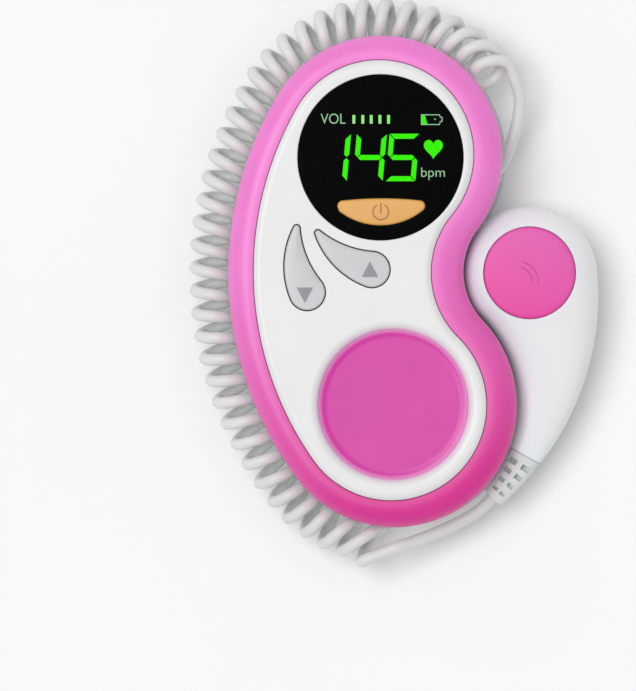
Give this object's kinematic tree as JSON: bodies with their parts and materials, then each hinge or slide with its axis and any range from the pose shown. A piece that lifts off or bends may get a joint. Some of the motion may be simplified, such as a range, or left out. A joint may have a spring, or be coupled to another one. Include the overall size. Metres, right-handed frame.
{
  "type": "fetal heart monitor",
  "caption": "Hand-held fetal heart monitor: pebble-shaped unit with a round display, drop-shaped buttons and a docked probe on a coiled cord.",
  "frame": {"origin": "on the rear face of the main unit, between its two lobes", "axes": "+Z out of the display towards the viewer, +Y along the body towards the display end, +X towards the probe"},
  "size_m": [0.115, 0.1596, 0.0344],
  "materials": {
    "case_white": "satin",
    "cover_white": "satin",
    "rim_pink": "gloss",
    "panel_white": "satin",
    "dish_pink": "satin",
    "pad_pink": "satin",
    "window_black": "gloss",
    "segment_green": "lit",
    "button_grey": "satin",
    "button_orange": "satin",
    "inner_white": "matte",
    "inner_black": "matte",
    "foam": "matte",
    "board_green": "satin",
    "zinc_steel": "brushed",
    "cone_paper": "matte",
    "magnet_steel": "plated",
    "cell_jacket": "gloss jacket",
    "lens_resin": "satin",
    "crystal": "matte",
    "backing": "matte",
    "boot_rubber": "matte",
    "cord_jacket": "satin"
  },
  "bodies": {
    "main_unit": {"rear_cover": "case_white", "waist_frame": "case_white", "front_rim": "rim_pink", "front_panel": "panel_white", "display_window": "window_black", "digit_segments": "segment_green", "display_module": "inner_black", "display_gasket": "foam", "dish_inlay": "dish_pink", "tact_switches": "inner_black", "main_board": "board_green", "board_screws": "zinc_steel", "speaker_frame": "zinc_steel", "speaker_cone": "cone_paper", "speaker_magnet": "magnet_steel", "battery_cells": "cell_jacket", "contact_plates": "zinc_steel", "contact_springs": "zinc_steel", "case_screws": "zinc_steel", "headphone_socket": "inner_black", "cord_gland": "boot_rubber", "probe_dock": "case_white", "curly_cord": "cord_jacket", "cord_tail": "cord_jacket"},
    "power_button": {"power_button": "button_orange", "power_plunger": "inner_white"},
    "volume_down": {"volume_down_button": "button_grey", "volume_down_plunger": "inner_white"},
    "volume_up": {"volume_up_button": "button_grey", "volume_up_plunger": "inner_white"},
    "battery_cover": {"battery_cover": "cover_white"},
    "probe": {"probe_front_shell": "panel_white", "probe_rear_shell": "case_white", "probe_pad": "pad_pink", "transducer_lens": "lens_resin", "piezo_crystals": "crystal", "transducer_holder": "inner_black", "damping_block": "backing", "probe_board": "board_green", "probe_screws": "zinc_steel", "probe_boot": "boot_rubber", "cord_lead": "cord_jacket"}
  },
  "joints": [
    {"name": "power_press", "type": "slide", "parent": "main_unit", "child": "power_button", "axis": [0, 0, -1], "range_m": [0, 0.0006], "stiffness_N_per_m": 1200},
    {"name": "volume_down_press", "type": "slide", "parent": "main_unit", "child": "volume_down", "axis": [0, 0, -1], "range_m": [0, 0.0006], "stiffness_N_per_m": 1200},
    {"name": "volume_up_press", "type": "slide", "parent": "main_unit", "child": "volume_up", "axis": [0, 0, -1], "range_m": [0, 0.0006], "stiffness_N_per_m": 1200},
    {"name": "battery_cover_slide", "type": "slide", "parent": "main_unit", "child": "battery_cover", "axis": [0, -1, 0], "range_m": [0, 0.06]},
    {"name": "probe_lift_off", "type": "slide", "parent": "main_unit", "child": "probe", "axis": [1, 0, 0], "range_m": [0, 0.04]}
  ]
}
